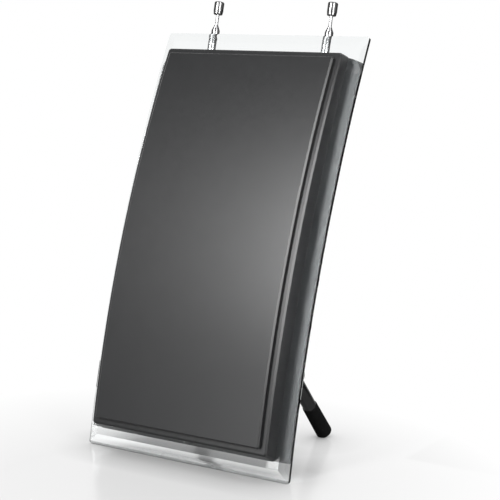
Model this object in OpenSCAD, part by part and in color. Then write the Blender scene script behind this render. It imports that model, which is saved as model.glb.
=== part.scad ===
// Flat indoor television antenna that stands like a picture frame.
// A bowed clear plate carries a two-tier front cover and, behind it, a housing
// with the tuner board, two telescopic rods and two folding legs.
// X runs to the viewer's right, Y runs back, Z runs up. The origin is the
// middle of the level bottom edge that the plate stands on.

/* [Clear plate] */
// Width of the plate
plate_w = 210; // [195:1:225]
// Length of the plate along its bow
plate_len = 383; // [370:1:395]
// Thickness of the plate
plate_t = 6; // [5:0.5:7]
// Thickness left at the bevelled edges
plate_edge_t = 3; // [2:0.5:3.5]
// Width of the mitred bevel
bevel_w = 9.5; // [7:0.5:11]
// Radius of the rounded plate corners
plate_corner_r = 2; // [1:0.5:3]
// Radius of the bow at the plate's rear surface
bow_r = 1390; // [1300:10:1500]
// Lean of the plate at its bottom edge, in degrees
foot_lean = 11.7; // [11:0.1:12.5]

/* [Front cover] */
// Clear margin beside the cover
side_margin = 13.2; // [12:0.2:16]
// Clear margin below the cover
foot_margin = 15.8; // [14:0.2:18]
// Clear margin above the cover
head_margin = 20; // [18:0.5:24]
// Depth of the lower tier at the foot
tier_depth_foot = 13.9; // [12:0.1:16]
// Depth of the lower tier half way up
tier_depth_mid = 15.3; // [14:0.1:17]
// Depth of the lower tier at the head
tier_depth_head = 9.5; // [8.5:0.1:11]
// Draft of the side walls, in degrees
side_draft = 3.6; // [1:0.2:5]
// Slope of the foot wall, in degrees
foot_draft = 19.4; // [10:0.2:22]
// Slope of the head wall, in degrees
head_draft = 8; // [4:0.5:12]
// Width of the ledge round the raised panel
ledge_w = 5.3; // [4:0.1:8]
// Height of the raised panel over the ledge
panel_rise = 4.4; // [3:0.1:6]
// Radius of the cover's outer edges
cover_edge_r = 1.2; // [0.6:0.1:2]
// Wall of the front cover
cover_wall = 2.5; // [2:0.1:3]

/* [Rear housing] */
// Clear margin beside the housing's rim
rim_margin = 2; // [1:0.5:4]
// Slope of the side walls away from straight back, in degrees
case_slope = 34; // [34:0.5:36]
// Wall of the rear housing
case_wall = 2.5; // [2:0.1:3]
// Width of the rim's inward flange
flange_w = 18; // [16:0.5:20]
// Thickness of the rim's flange
flange_t = 2; // [1.5:0.1:2.5]
// Radius of the housing's two upper corners
shoulder_r = 14; // [10:0.5:18]
// Radius of the housing's long cross edges
case_edge_r = 5; // [4:0.5:8]

/* [Telescopic rods] */
// Distance of each rod from the middle
rod_x = 60; // [58:0.5:62]
// Lean of the rods, in degrees
rod_lean = 14.5; // [14:0.1:15]
// Outer diameter of the fixed tube
rod_d = 7.6; // [7.2:0.1:8]
// Gap between a rod and the plate's top edge
rod_gap = 0.95; // [0.6:0.05:1.5]
// Gap between a rod and the housing's back wall
rod_back_gap = 1.2; // [1:0.1:2]
// Step in diameter from one stage to the next
stage_step = 0.95; // [0.9:0.01:0.98]
// Wall of the rod tubes
tube_wall = 0.3; // [0.25:0.01:0.32]
// Radial running clearance of each stage
slide_clear = 0.05; // [0.03:0.01:0.06]
// Length of the fixed tube
tube_len = 215; // [190:1:225]
// How far the fixed tube stands over the plate
tube_rise = 6; // [4:0.5:10]
// How far each closed stage stands over the one outside it
stage_rise = 1.1; // [0.8:0.1:2]
// Length of each stage's guide collar
collar_len = 8; // [6:0.5:12]
// Length of each rolled-in tube mouth
mouth_len = 1.5; // [1:0.1:3]
// Bare length of the tip rod under its cap
tip_bare = 9.8; // [6:0.2:16]
// Diameter of the tip caps
cap_d = 9; // [8:0.2:10]
// Length of the tip caps
cap_len = 11.7; // [9:0.1:14]

/* [Legs] */
// Distance of each leg from the middle
leg_x = 60; // [59:0.5:61]
// Lean of an open leg, in degrees
leg_lean = 40.3; // [38:0.1:42]
// Height of the hinge pins
leg_pin_z = 70; // [67:0.5:73]
// Diameter of the leg tubes
leg_d = 12.5; // [12:0.1:13]
// Wall of the leg tubes
leg_wall = 0.8; // [0.6:0.1:1]
// Diameter of a rubber foot at its top
foot_top_d = 13.8; // [13.5:0.1:14.5]
// Diameter of a rubber foot at its end
foot_end_d = 14.8; // [14.5:0.1:16]
// Length of the rubber feet
foot_len = 40; // [34:0.5:44]
// Depth of the level flat on a foot's heel
foot_flat = 1; // [0.6:0.1:1.4]
// Diameter of the hinge pins
pin_d = 4; // [3.5:0.1:4.5]
// Radial running clearance on the hinge pins
pin_clear = 0.06; // [0.03:0.01:0.09]

/* [Aerial socket] */
// Outer diameter of the socket's threaded end
jack_d = 9.52; // [9.4:0.02:9.6]
// How far the socket stands out of the housing
jack_reach = 11; // [10:0.5:14]

/* [Boards] */
// Width of the UHF board
uhf_w = 140; // [120:1:150]
// Height of the UHF board
uhf_h = 110; // [100:1:116]
// Width of the tuner board
tuner_w = 80; // [76:1:90]
// Height of the tuner board
tuner_h = 50; // [48:1:60]
// Thickness of both boards
board_t = 1.6; // [1.2:0.1:2]
// Length of the spacers on each side of the plate
spacer_len = 5; // [4.6:0.1:5.5]

/* [Fasteners] */
// Diameter of the cover screws
screw_d = 3.5; // [3:0.1:4]
// Diameter of the small screws
small_screw_d = 2.6; // [2.4:0.1:3]
// Diameter of the board screws
board_screw_d = 3; // [2.6:0.1:3.2]

/* [Hidden] */
$fn = 64;
bow_fn = 720;
far = 60;
fit_gap = 0.3;
proud = 0.004;

// Plate arc: angles are leans from the vertical, places are [y, z] pairs.
arc = [bow_r * cos(foot_lean) + plate_edge_t / 2 / cos(foot_lean), -bow_r * sin(foot_lean)];
function lean_at(s) = foot_lean + s / bow_r * 180 / PI;
function spot(c, r, lean) = [c[0] - r * cos(lean), c[1] + r * sin(lean)];
function on_bow(s, off = 0) = spot(arc, bow_r + off, lean_at(s));
function ahead(lean) = [-cos(lean), sin(lean)];
function along(lean) = [sin(lean), cos(lean)];
function bow_drop(t) = bow_r - sqrt(bow_r * bow_r - t * t);
function lean_of(c, p) = atan2(p[1] - c[1], c[0] - p[0]);

// Centre of the circle through three points.
function centre_of(a, b, c) = let (
        d = 2 * (a[0] * (b[1] - c[1]) + b[0] * (c[1] - a[1]) + c[0] * (a[1] - b[1])),
        aa = a * a, bb = b * b, cc = c * c)
    [(aa * (b[1] - c[1]) + bb * (c[1] - a[1]) + cc * (a[1] - b[1])) / d,
     (aa * (c[0] - b[0]) + bb * (a[0] - c[0]) + cc * (b[0] - a[0])) / d];

// Front face of the lower tier: the arc through its three depths.
face_foot = on_bow(0, plate_t + tier_depth_foot);
face_mid = on_bow(plate_len / 2, plate_t + tier_depth_mid);
face_head = on_bow(plate_len, plate_t + tier_depth_head);
face_c = centre_of(face_foot, face_mid, face_head);
face_r = norm(face_mid - face_c);

tier_half_back = plate_w / 2 - side_margin;
tier_half = tier_half_back - tier_depth_mid * tan(side_draft);
panel_half = tier_half - ledge_w;
tier_foot_s = foot_margin;
tier_head_s = plate_len - head_margin;
panel_foot_s = tier_foot_s + tier_depth_foot * tan(foot_draft) + ledge_w;
panel_head_s = tier_head_s - tier_depth_head * tan(head_draft) - ledge_w;

// Housing frame: x across, n straight back from the rods' plane, u along the rods.
plate_top = on_bow(plate_len);
rod_r = rod_d / 2;
rod_root = plate_top - (rod_r + rod_gap) * ahead(rod_lean);
function back_u(p) = (p - rod_root) * along(rod_lean);
function back_n(p) = -(p - rod_root) * ahead(rod_lean);
function from_back(n, u) = rod_root - n * ahead(rod_lean) + u * along(rod_lean);
case_n = rod_r + rod_back_gap + case_wall;
case_in_n = case_n - case_wall;
case_top_u = back_u(on_bow(tier_head_s));
case_foot_z = on_bow(tier_foot_s)[1];
rim_half = plate_w / 2 - rim_margin;
flange_foot_u = back_u(on_bow(tier_foot_s + flange_w));
flange_head = 12.8;
side_wall_x = case_wall / cos(case_slope);

// Rods: diameters and levels along u, stage 0 is the fixed tube.
stages = 4;
function stage_d(k) = rod_d - k * stage_step;
function bore_d(k) = stage_d(k) - 2 * tube_wall;
function mouth_d(k) = stage_d(k + 1) + 2 * slide_clear;
function collar_d(k) = bore_d(k - 1) - 2 * slide_clear;
tube_foot_u = tube_rise - tube_len;
plug_len = 6;
stage_foot_u = tube_foot_u + plug_len + fit_gap;
function stage_top_u(k) = tube_rise + k * stage_rise;
tip_d = stage_d(stages + 1);
tip_top_u = stage_top_u(stages) + tip_bare;
cap_hold = 6;
mouth_round = 0.25;
bush_wall = 1.6;
bush_past = 2;
bush_flange = 1.4;
bush_flange_t = 1.2;
clip_u = -90;
clip_t = 1;
clip_len = 10;
clip_foot = 8;
clip_bend = 0.6;
screw_tip_gap = 0.5;
clip_screw_x = rod_r + clip_foot / 2 + clip_bend;
lug_tab_w = 6;
lug_tab_t = 1.6;
lug_tab_len = 13;
lug_collar_t = 2;
lug_hole_up = 4;
lug_hole_u = tube_foot_u - lug_collar_t - lug_tab_len + lug_hole_up;
small_boss_d = 7;
small_boss_len = 8;
small_hole_len = 7;
small_head_d = small_screw_d * 1.9;
small_head_t = 1.6;

// Cover screws: six, through the rear posts and the plate into the cover.
screw_x = 44;
screw_rows = [-318, -248, -48];
post_d = 9.5;
screw_hole_gap = 0.5;
well_gap = 0.7;
screw_hole_d = screw_d + screw_hole_gap;
head_d = screw_d * 1.9;
head_t = 2.2;
head_well_d = head_d + well_gap;
seat_t = 4;
seat_gap = 0.15;
boss_d = 8;
boss_bite = 7.5;
drill_past = 0.5;
cover_inner_r = 0.4;
drive_d = 2.6;
drive_depth = 1.2;
mid_drive_d = 2;
small_drive_d = 1.6;
small_drive_depth = 0.84;

// Legs: the hinge pin's place, and the leg's length down to the floor.
foot_end_r = foot_end_d / 2;
base_t = 2;
leg_clear = 0.8;
pin_n = case_n + base_t + max(leg_d / 2 + leg_clear, foot_end_r + leg_clear - base_t);
pin_u = (leg_pin_z - rod_root[1] + pin_n * sin(rod_lean)) / cos(rod_lean);
pin_at = from_back(pin_n, pin_u);
foot_edge_r = 1.4;
leg_len = (leg_pin_z - foot_end_r * sin(leg_lean) + foot_flat) / cos(leg_lean);
barrel_r = 6;
barrel_w = 11.6;
neck_d = 11.2;
neck_end = 12;
spigot_len = 14;
foot_floor = 7;
washer_t = 0.5;
washer_d = 2 * barrel_r - 1;
washer_gap = 0.05;
cheek_gap = barrel_w + 2 * washer_t + 4 * washer_gap;
cheek_t = 2.6;
cheek_r = 6.6;
cheek_w = cheek_gap + 2 * cheek_t;
base_up = 18;
base_down = 24;
base_screw_up = 13;
base_screw_down = 19.5;
stop_gap = 0.25;
leg_open = leg_lean + rod_lean;
pin_head_step = 2;
pin_head_d = pin_d + pin_head_step;
pin_head_t = 0.8;
web_bite = 0.5;
web_top = 11;
web_low = 14;
web_foot = 16;
web_back = 3;

// Aerial socket on the middle of the back, level with the hinge pins.
jack_u = pin_u;
jack_hole_gap = 0.2;
jack_hole_d = jack_d + jack_hole_gap;
jack_flats = 11;
jack_flange_t = 2.5;
jack_tail_d = 7;
jack_tail_len = 8;
jack_washer_t = 0.8;
jack_nut_t = 2.6;
jack_nut_d = 14.4;
jack_groove = 0.6;
jack_root_d = jack_d - 1;
jack_bore_d = 5;
jack_bore_depth = 7;
jack_pin_d = 1;

// Board stack through the plate.
board_s = plate_len / 2;
spacer_d = 6;
stack_x = 30;
stack_t = 18;
feed_d = 1.6;
feed_x = 5;
uhf_back = plate_t + spacer_len;
uhf_front = uhf_back + board_t;
sheet_t = 0.5;
tuner_front = spacer_len;
tuner_back = tuner_front + board_t;
can_w = 34;
can_h = 26;
can_deep = 8;
can_wall = 0.5;
can_hole_d = 2.4;
core_w = 13;
core_h = 8;
core_deep = 8;
core_bore_d = 2.4;
cap_can_d = 6.3;
cap_can_len = 8;
cap_can_x = 14;
cap_can_up = 2;
nut_t = 2.4;
nut_d = 6.4;

// Flat shape with true round corners: pts in order, one radius for each. With a lift each circle stands
// proud by that share of its radius, so that it crosses the sides at a small angle.
module round_poly(pts, radii, lift = 0) {
    n = len(pts);
    function unit(v) = v / norm(v);
    function to_prev(i) = unit(pts[(i + n - 1) % n] - pts[i]);
    function to_next(i) = unit(pts[(i + 1) % n] - pts[i]);
    function half(i) = acos(to_prev(i) * to_next(i)) / 2;
    function run(i) = radii[i] / tan(half(i));
    function core(i) = pts[i] + unit(to_prev(i) + to_next(i)) * radii[i] * (1 - lift) / sin(half(i));
    polygon([for (i = [0:n - 1]) each radii[i] > 0
        ? [pts[i] + to_prev(i) * run(i), pts[i] + to_next(i) * run(i)] : [pts[i]]]);
    for (i = [0:n - 1]) if (radii[i] > 0) translate(core(i)) circle(radii[i]);
}

// Sweeps a flat [radius, x] shape about a level axis at c between two leans.
module swept(c, low, high) {
    translate([0, c[0], c[1]]) rotate([0, 90, 0]) rotate([0, 0, -(90 + high)])
        rotate_extrude(angle = high - low, $fn = bow_fn) children();
}

// Layer that follows the plate between two offsets from its rear surface.
module bow_layer(low, high, half) {
    swept(arc, foot_lean - 3, lean_at(plate_len) + 3)
        translate([bow_r + low, -half]) square([high - low, 2 * half]);
}

// Extrudes a flat [y, z] shape across the width.
module across(half) {
    rotate([90, 0, 90]) translate([0, 0, -half]) linear_extrude(2 * half) children();
}

// Puts children in the housing frame: Y is n, Z is u.
module back_frame() {
    translate([0, rod_root[0], rod_root[1]]) rotate([-rod_lean, 0, 0]) children();
}

// Puts children on the plate's rear surface at the board stack.
module stack_frame() {
    translate([0, on_bow(board_s)[0], on_bow(board_s)[1]]) rotate([-lean_at(board_s), 0, 0]) children();
}

// Cylinder along Y from a to b.
module y_cyl(d, a, b) {
    translate([0, a, 0]) rotate([-90, 0, 0]) cylinder(d = d, h = b - a);
}

module both_sides() {
    for (side = [-1, 1]) translate([side * rod_x, 0, 0]) children();
}

// One tier of the front cover: drafted sides and rounded outer edges.
// half is its half width at the face, grow its offset ahead of the face.
module tier(half, grow, foot_s, foot_slope, head_s, head_slope, edge) {
    r = face_r + grow;
    foot_back = on_bow(foot_s, plate_t);
    head_back = on_bow(head_s, plate_t);
    foot_dir = ahead(lean_at(foot_s)) * cos(foot_slope) + along(lean_at(foot_s)) * sin(foot_slope);
    head_dir = ahead(lean_at(head_s)) * cos(head_slope) - along(lean_at(head_s)) * sin(head_slope);
    foot_in = [foot_dir[1], -foot_dir[0]];
    head_in = [-head_dir[1], head_dir[0]];
    function seat(p, dir, in) = let (w = p + in * edge - face_c)
        p + in * edge + dir * (sqrt((w * dir) * (w * dir) - w * w + (r - edge) * (r - edge)) - w * dir);
    foot_core = seat(foot_back, foot_dir, foot_in);
    head_core = seat(head_back, head_dir, head_in);
    foot_a = foot_core - foot_in * edge;
    head_a = head_core - head_in * edge;
    foot_b = spot(face_c, r, lean_of(face_c, foot_core));
    head_b = spot(face_c, r, lean_of(face_c, head_core));
    side_out = far * tan(side_draft);
    intersection() {
        swept(face_c, lean_of(face_c, foot_b) - 3, lean_of(face_c, head_b) + 3)
            round_poly([[r - far, -half - side_out], [r, -half], [r, half], [r - far, half + side_out]],
                [0, edge, edge, 0]);
        across(plate_w) {
            polygon([foot_a - foot_dir * far, foot_a, foot_b,
                foot_b + (foot_b - foot_a) / norm(foot_b - foot_a) * far,
                head_b + (head_b - head_a) / norm(head_b - head_a) * far,
                head_b, head_a, head_a - head_dir * far]);
            for (core = [foot_core, head_core]) translate(core) circle(edge);
        }
    }
}

// Six screw places in the housing frame, with Y pointing back.
module at_cover_screws() {
    back_frame() for (side = [-1, 1], u = screw_rows) translate([side * screw_x, 0, u]) children();
}

module clear_plate() {
    foot_a = on_bow(0, plate_edge_t);
    foot_b = on_bow(bevel_w, plate_t);
    head_a = on_bow(plate_len, plate_edge_t);
    head_b = on_bow(plate_len - bevel_w, plate_t);
    half = plate_w / 2;
    stretch = 10;
    color([0.86, 0.9, 0.92, 0.35]) difference() {
        intersection() {
            swept(arc, foot_lean - 2, lean_at(plate_len) + 2)
                polygon([[bow_r, -half], [bow_r + plate_edge_t, -half], [bow_r + plate_t, bevel_w - half],
                    [bow_r + plate_t, half - bevel_w], [bow_r + plate_edge_t, half], [bow_r, half]]);
            across(plate_w) polygon([[foot_a[0] + far, 0], [foot_a[0], 0], foot_a,
                foot_a + (foot_b - foot_a) * stretch, head_a + (head_b - head_a) * stretch, head_a,
                on_bow(plate_len, -far)]);
        }
        for (end = [[on_bow(0), lean_at(0), 1], [plate_top, lean_at(plate_len), -1]], side = [-1, 1])
            translate([0, end[0][0], end[0][1]]) rotate([-end[1], 0, 0])
                mirror([side > 0 ? 1 : 0, 0, 0]) mirror([0, 0, end[2] > 0 ? 0 : 1])
                translate([-half, 0, 0]) rotate([90, 0, 0]) translate([0, 0, -2 * plate_t])
                linear_extrude(4 * plate_t) difference() {
                    translate([-1, -2]) square([plate_corner_r + 1, plate_corner_r + 2]);
                    translate([1, 1] * plate_corner_r * (1 - proud)) circle(plate_corner_r);
                }
        at_cover_screws() y_cyl(screw_hole_d, -far, far);
        stack_frame() {
            for (x = [-stack_x, stack_x], t = [-stack_t, stack_t])
                translate([x, 0, t]) y_cyl(board_screw_d, -far, far);
            for (x = [-feed_x, feed_x]) translate([x, 0, 0]) y_cyl(feed_d, -far, far);
        }
    }
}

module front_cover() {
    color([0.2, 0.2, 0.21]) difference() {
        union() {
            difference() {
                union() {
                    tier(tier_half, 0, tier_foot_s, foot_draft, tier_head_s, head_draft, cover_edge_r);
                    tier(panel_half, panel_rise, panel_foot_s, 0, panel_head_s, 0, cover_edge_r);
                }
                tier(tier_half - cover_wall, -cover_wall, tier_foot_s + cover_wall, foot_draft,
                    tier_head_s - cover_wall, head_draft, cover_inner_r);
                tier(panel_half - cover_wall, panel_rise - cover_wall, panel_foot_s + cover_wall, 0,
                    panel_head_s - cover_wall, 0, cover_inner_r);
            }
            intersection() {
                tier(panel_half - cover_wall, panel_rise - cover_wall / 2, panel_foot_s + cover_wall, 0,
                    panel_head_s - cover_wall, 0, cover_inner_r);
                at_cover_screws() y_cyl(boss_d, -2 * far, 0);
            }
        }
        bow_layer(-far, plate_t, plate_w);
        intersection() {
            bow_layer(plate_t, plate_t + boss_bite + drill_past, plate_w);
            at_cover_screws() y_cyl(screw_d, -2 * far, 0);
        }
    }
}

// Outside or, with a wall given, inside of the rear housing.
module case_form(wall) {
    half = rim_half - (wall > 0 ? side_wall_x : 0);
    deep = 75;
    lip = 10;
    top_u = case_top_u - wall;
    foot_z = case_foot_z + wall;
    back = case_n - wall;
    edge = max(case_edge_r - wall, 0.5);
    side_r = max(shoulder_r - wall, 1);
    foot_u = back_u([0, 0]) - 3 * far;
    corner_u = (foot_z - rod_root[1] + back * sin(rod_lean)) / cos(rod_lean);
    intersection() {
        swept(arc, foot_lean - 3, lean_at(plate_len) + 3)
            polygon([[bow_r + lip, -half - lip * tan(case_slope)],
                [bow_r - deep, deep * tan(case_slope) - half],
                [bow_r - deep, half - deep * tan(case_slope)],
                [bow_r + lip, half + lip * tan(case_slope)]]);
        across(plate_w) round_poly([[-2 * far, foot_z], from_back(back, corner_u),
            from_back(back, top_u), from_back(-2.5 * far, top_u)], [0, edge, edge, 0], proud);
        back_frame() rotate([90, 0, 0]) translate([0, 0, -2 * far]) linear_extrude(6 * far)
            round_poly([[-half, foot_u], [half, foot_u], [half, top_u], [-half, top_u]],
                [0, 0, side_r, side_r], proud);
    }
}

module rear_cover() {
    color([0.42, 0.43, 0.44]) difference() {
        union() {
            difference() {
                case_form(0);
                difference() {
                    case_form(case_wall);
                    difference() {
                        bow_layer(-flange_t, far, plate_w);
                        intersection() {
                            bow_layer(-far, 2 * far, rim_half - flange_w);
                            back_frame() translate([-plate_w, -3 * far, flange_foot_u])
                                cube([2 * plate_w, 4 * far, case_top_u - flange_head - flange_foot_u]);
                        }
                    }
                }
            }
            intersection() {
                case_form(case_wall / 2);
                union() {
                    at_cover_screws() y_cyl(post_d, -2 * far, case_n);
                    back_frame() {
                        both_sides() {
                            for (side = [-1, 1]) translate([side * clip_screw_x - clip_foot / 2, 0,
                                clip_u - clip_len / 2]) cube([clip_foot, case_n, clip_len]);
                            translate([0, 0, lug_hole_u]) y_cyl(small_boss_d, lug_tab_t / 2, case_n);
                        }
                        for (side = [-1, 1], u = [base_screw_up, -base_screw_down])
                            translate([side * leg_x, 0, pin_u + u])
                                y_cyl(small_boss_d, case_in_n - small_boss_len, case_n);
                    }
                }
            }
        }
        bow_layer(0, 3 * far, plate_w);
        at_cover_screws() y_cyl(screw_hole_d, -2 * far, far);
        back_frame() for (side = [-1, 1], u = screw_rows)
            translate([side * screw_x, screw_seat(u), u]) y_cyl(head_well_d, 0, far);
        back_frame() {
            both_sides() {
                translate([0, 0, case_top_u - far / 2]) cylinder(d = rod_d + 2 * bush_wall, h = far);
                for (side = [-1, 1]) translate([side * clip_screw_x, 0, clip_u])
                    y_cyl(small_screw_d, -1, case_in_n);
                translate([0, 0, lug_hole_u]) y_cyl(small_screw_d, 0, case_in_n);
            }
            for (side = [-1, 1], u = [base_screw_up, -base_screw_down])
                translate([side * leg_x, 0, pin_u + u])
                    y_cyl(small_screw_d, case_in_n - small_hole_len, case_n + 1);
            translate([0, 0, jack_u]) y_cyl(jack_hole_d, case_in_n - 1, case_n + 1);
        }
    }
}

// Board with its screw and feed holes, from front to back offset along Y.
module board(w, h, front) {
    stack_frame() difference() {
        translate([-w / 2, front, -h / 2]) cube([w, board_t, h]);
        for (x = [-stack_x, stack_x], t = [-stack_t, stack_t])
            translate([x, 0, t]) y_cyl(board_screw_d, front - 1, front + board_t + 1);
        for (x = [-feed_x, feed_x]) translate([x, 0, 0]) y_cyl(feed_d, front - 1, front + board_t + 1);
    }
}

module uhf_board() {
    color([0.1, 0.35, 0.2]) board(uhf_w, uhf_h, -uhf_front);
}

module tuner_board() {
    color([0.1, 0.35, 0.2]) board(tuner_w, tuner_h, tuner_front);
}

// Half of the bow-tie element, with a folded stiffening edge.
module uhf_element(side) {
    root_h = 8;
    root_x = 3;
    reach = uhf_w / 2 - 4;
    tip_h = uhf_h - 10;
    fold = 3;
    hole_inset = 7;
    color([0.8, 0.8, 0.78]) stack_frame() mirror([side > 0 ? 0 : 1, 0, 0]) difference() {
        union() {
            translate([0, -uhf_front, 0]) rotate([90, 0, 0]) linear_extrude(sheet_t)
                polygon([[root_x, -root_h / 2], [reach, -tip_h / 2], [reach, tip_h / 2],
                    [root_x, root_h / 2]]);
            translate([reach - sheet_t, -uhf_front - fold, -tip_h / 2]) cube([sheet_t, fold, tip_h]);
        }
        translate([feed_x, 0, 0]) y_cyl(feed_d, -far, 0);
        for (t = [-stack_t, stack_t]) translate([stack_x, 0, t]) y_cyl(board_screw_d + 4, -far, 0);
        for (t = [-1, 1]) translate([reach - hole_inset, 0, t * (tip_h / 2 - 2 * hole_inset)])
            y_cyl(3, -far, 0);
    }
}

module shield_can() {
    color([0.75, 0.76, 0.78]) stack_frame() translate([-can_w / 2, tuner_back, -can_h / 2]) difference() {
        cube([can_w, can_deep, can_h]);
        translate([can_wall, -1, can_wall])
            cube([can_w - 2 * can_wall, can_deep + 1 - can_wall, can_h - 2 * can_wall]);
        for (i = [0:3], j = [0:2]) translate([can_w / 2 + (i - 1.5) * 6, 0, can_h / 2 + (j - 1) * 6])
            y_cyl(can_hole_d, can_deep - 1, can_deep + 1);
    }
}

module balun_core() {
    color([0.15, 0.15, 0.16]) stack_frame() translate([0, tuner_back, -tuner_h / 2 + core_h / 2 + 1])
        difference() {
            translate([-core_w / 2, 0, -core_h / 2]) cube([core_w, core_deep, core_h]);
            for (x = [-core_w / 4, core_w / 4]) translate([x, core_deep / 2, -far])
                cylinder(d = core_bore_d, h = 2 * far);
        }
}

module capacitors() {
    color([0.12, 0.16, 0.3]) stack_frame() for (x = [-1, 1])
        translate([x * cap_can_x, 0, -tuner_h / 2 + cap_can_d / 2 + cap_can_up])
            y_cyl(cap_can_d, tuner_back, tuner_back + cap_can_len);
}

module feed_pins() {
    color([0.8, 0.65, 0.3]) stack_frame() for (x = [-feed_x, feed_x]) translate([x, 0, 0])
        y_cyl(feed_d, -uhf_front - sheet_t - 1, tuner_back + 1);
}

// Spacers between the plate and a board. Their flat ends touch the bow at one edge.
module spacers(a, b) {
    stack_frame() for (x = [-stack_x, stack_x], t = [-stack_t, stack_t]) translate([x, 0, t]) difference() {
        y_cyl(spacer_d, a, b);
        y_cyl(board_screw_d, a - 1, b + 1);
    }
}

module front_spacers() {
    color([0.8, 0.65, 0.3]) spacers(-uhf_back, bow_drop(stack_t - spacer_d / 2) - plate_t);
}

module rear_spacers() {
    color([0.8, 0.65, 0.3]) spacers(bow_drop(stack_t + spacer_d / 2), tuner_front);
}

module board_screws() {
    color([0.7, 0.7, 0.72]) stack_frame() for (x = [-stack_x, stack_x], t = [-stack_t, stack_t])
        translate([x, 0, t]) {
            y_cyl(board_screw_d, -uhf_front, tuner_back + nut_t + 0.8);
            difference() {
                y_cyl(board_screw_d * 1.9, -uhf_front - 2, -uhf_front);
                y_cyl(mid_drive_d, -uhf_front - 2.5, -uhf_front - 2 + drive_depth, $fn = 6);
            }
        }
}

module board_nuts() {
    color([0.7, 0.7, 0.72]) stack_frame() for (x = [-stack_x, stack_x], t = [-stack_t, stack_t])
        translate([x, tuner_back, t]) rotate([-90, 0, 0]) difference() {
            cylinder(d = nut_d, h = nut_t, $fn = 6);
            translate([0, 0, -1]) cylinder(d = board_screw_d, h = nut_t + 2);
        }
}

module coax_jack() {
    end = case_n + jack_reach;
    nut_end = case_n + jack_washer_t + jack_nut_t;
    color([0.83, 0.8, 0.7]) back_frame() translate([0, 0, jack_u]) difference() {
        union() {
            y_cyl(jack_tail_d, case_in_n - jack_flange_t - jack_tail_len, case_in_n);
            translate([0, case_in_n - jack_flange_t, 0]) rotate([-90, 0, 0])
                cylinder(d = jack_flats / cos(30), h = jack_flange_t, $fn = 6);
            y_cyl(jack_d, case_in_n, nut_end);
            y_cyl(jack_root_d, nut_end, nut_end + jack_groove);
            y_cyl(jack_d, nut_end + jack_groove, end);
        }
        difference() {
            y_cyl(jack_bore_d, end - jack_bore_depth, end + 1);
            y_cyl(jack_pin_d, end - jack_bore_depth - 1, end - 1);
        }
    }
}

module jack_washer() {
    color([0.75, 0.75, 0.76]) back_frame() translate([0, 0, jack_u]) difference() {
        y_cyl(jack_nut_d + 1, case_n, case_n + jack_washer_t);
        y_cyl(jack_d, case_n - 1, case_n + jack_washer_t + 1);
    }
}

module jack_nut() {
    color([0.83, 0.8, 0.7]) back_frame() translate([0, case_n + jack_washer_t, jack_u])
        rotate([-90, 0, 0]) difference() {
            cylinder(d = jack_nut_d, h = jack_nut_t, $fn = 6);
            translate([0, 0, -1]) cylinder(d = jack_d, h = jack_nut_t + 2);
        }
}

// Where a cover screw's head seats, along Y of the housing frame.
function screw_seat(u) = let (
        lean = rod_lean,
        r = bow_r - flange_t - seat_t,
        p = from_back(0, u) - arc,
        b = p * ahead(lean),
        t = -b + sqrt(b * b - p * p + r * r))
    -t;

module cover_screws() {
    color([0.25, 0.25, 0.26]) back_frame() for (side = [-1, 1], u = screw_rows)
        translate([side * screw_x, screw_seat(u) + seat_gap, u]) {
            y_cyl(screw_d, -(seat_t + flange_t + plate_t + boss_bite), 0);
            difference() {
                y_cyl(head_d, 0, head_t);
                y_cyl(drive_d, head_t - drive_depth, head_t + 1, $fn = 6);
            }
        }
}

module rod_bushes() {
    color([0.1, 0.1, 0.1]) back_frame() both_sides() translate([0, 0, case_top_u]) difference() {
        union() {
            translate([0, 0, -case_wall - bush_past])
                cylinder(d = rod_d + 2 * bush_wall, h = case_wall + bush_past);
            cylinder(d = rod_d + 2 * bush_wall + 2 * bush_flange, h = bush_flange_t);
        }
        translate([0, 0, -far / 2]) cylinder(d = rod_d, h = far);
    }
}

module rod_clips() {
    color([0.75, 0.75, 0.77]) back_frame() both_sides() translate([0, 0, clip_u - clip_len / 2])
        difference() {
            union() {
                cylinder(d = rod_d + 2 * clip_t, h = clip_len);
                translate([-clip_screw_x - clip_foot / 2, -clip_t, 0])
                    cube([2 * clip_screw_x + clip_foot, clip_t, clip_len]);
            }
            translate([0, 0, -1]) cylinder(d = rod_d, h = clip_len + 2);
            translate([-far, 0, -1]) cube([2 * far, far, clip_len + 2]);
            for (side = [-1, 1]) translate([side * clip_screw_x, 0, clip_len / 2])
                y_cyl(small_screw_d, -far, far);
        }
}

// Small pan screw: head ahead of Y = 0, shank behind it.
module small_screw(shank) {
    y_cyl(small_screw_d, 0, shank);
    difference() {
        y_cyl(small_head_d, -small_head_t, 0);
        y_cyl(small_drive_d, -small_head_t - 1, -small_head_t + small_drive_depth, $fn = 6);
    }
}

module clip_screws() {
    color([0.7, 0.7, 0.72]) back_frame() both_sides() for (side = [-1, 1])
        translate([side * clip_screw_x, -clip_t, clip_u]) small_screw(clip_t + case_in_n - screw_tip_gap);
}

module rod_lugs() {
    color([0.8, 0.65, 0.3]) back_frame() both_sides() difference() {
        union() {
            translate([0, 0, tube_foot_u]) cylinder(d = bore_d(0), h = plug_len);
            translate([0, 0, tube_foot_u - lug_collar_t]) cylinder(d = rod_d, h = lug_collar_t);
            translate([-lug_tab_w / 2, -lug_tab_t / 2, tube_foot_u - lug_collar_t - lug_tab_len])
                cube([lug_tab_w, lug_tab_t, lug_tab_len]);
        }
        translate([0, 0, lug_hole_u]) y_cyl(small_screw_d, -far, far);
    }
}

module lug_screws() {
    color([0.7, 0.7, 0.72]) back_frame() both_sides() translate([0, -lug_tab_t / 2, lug_hole_u])
        small_screw(lug_tab_t / 2 + case_in_n - screw_tip_gap);
}

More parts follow.
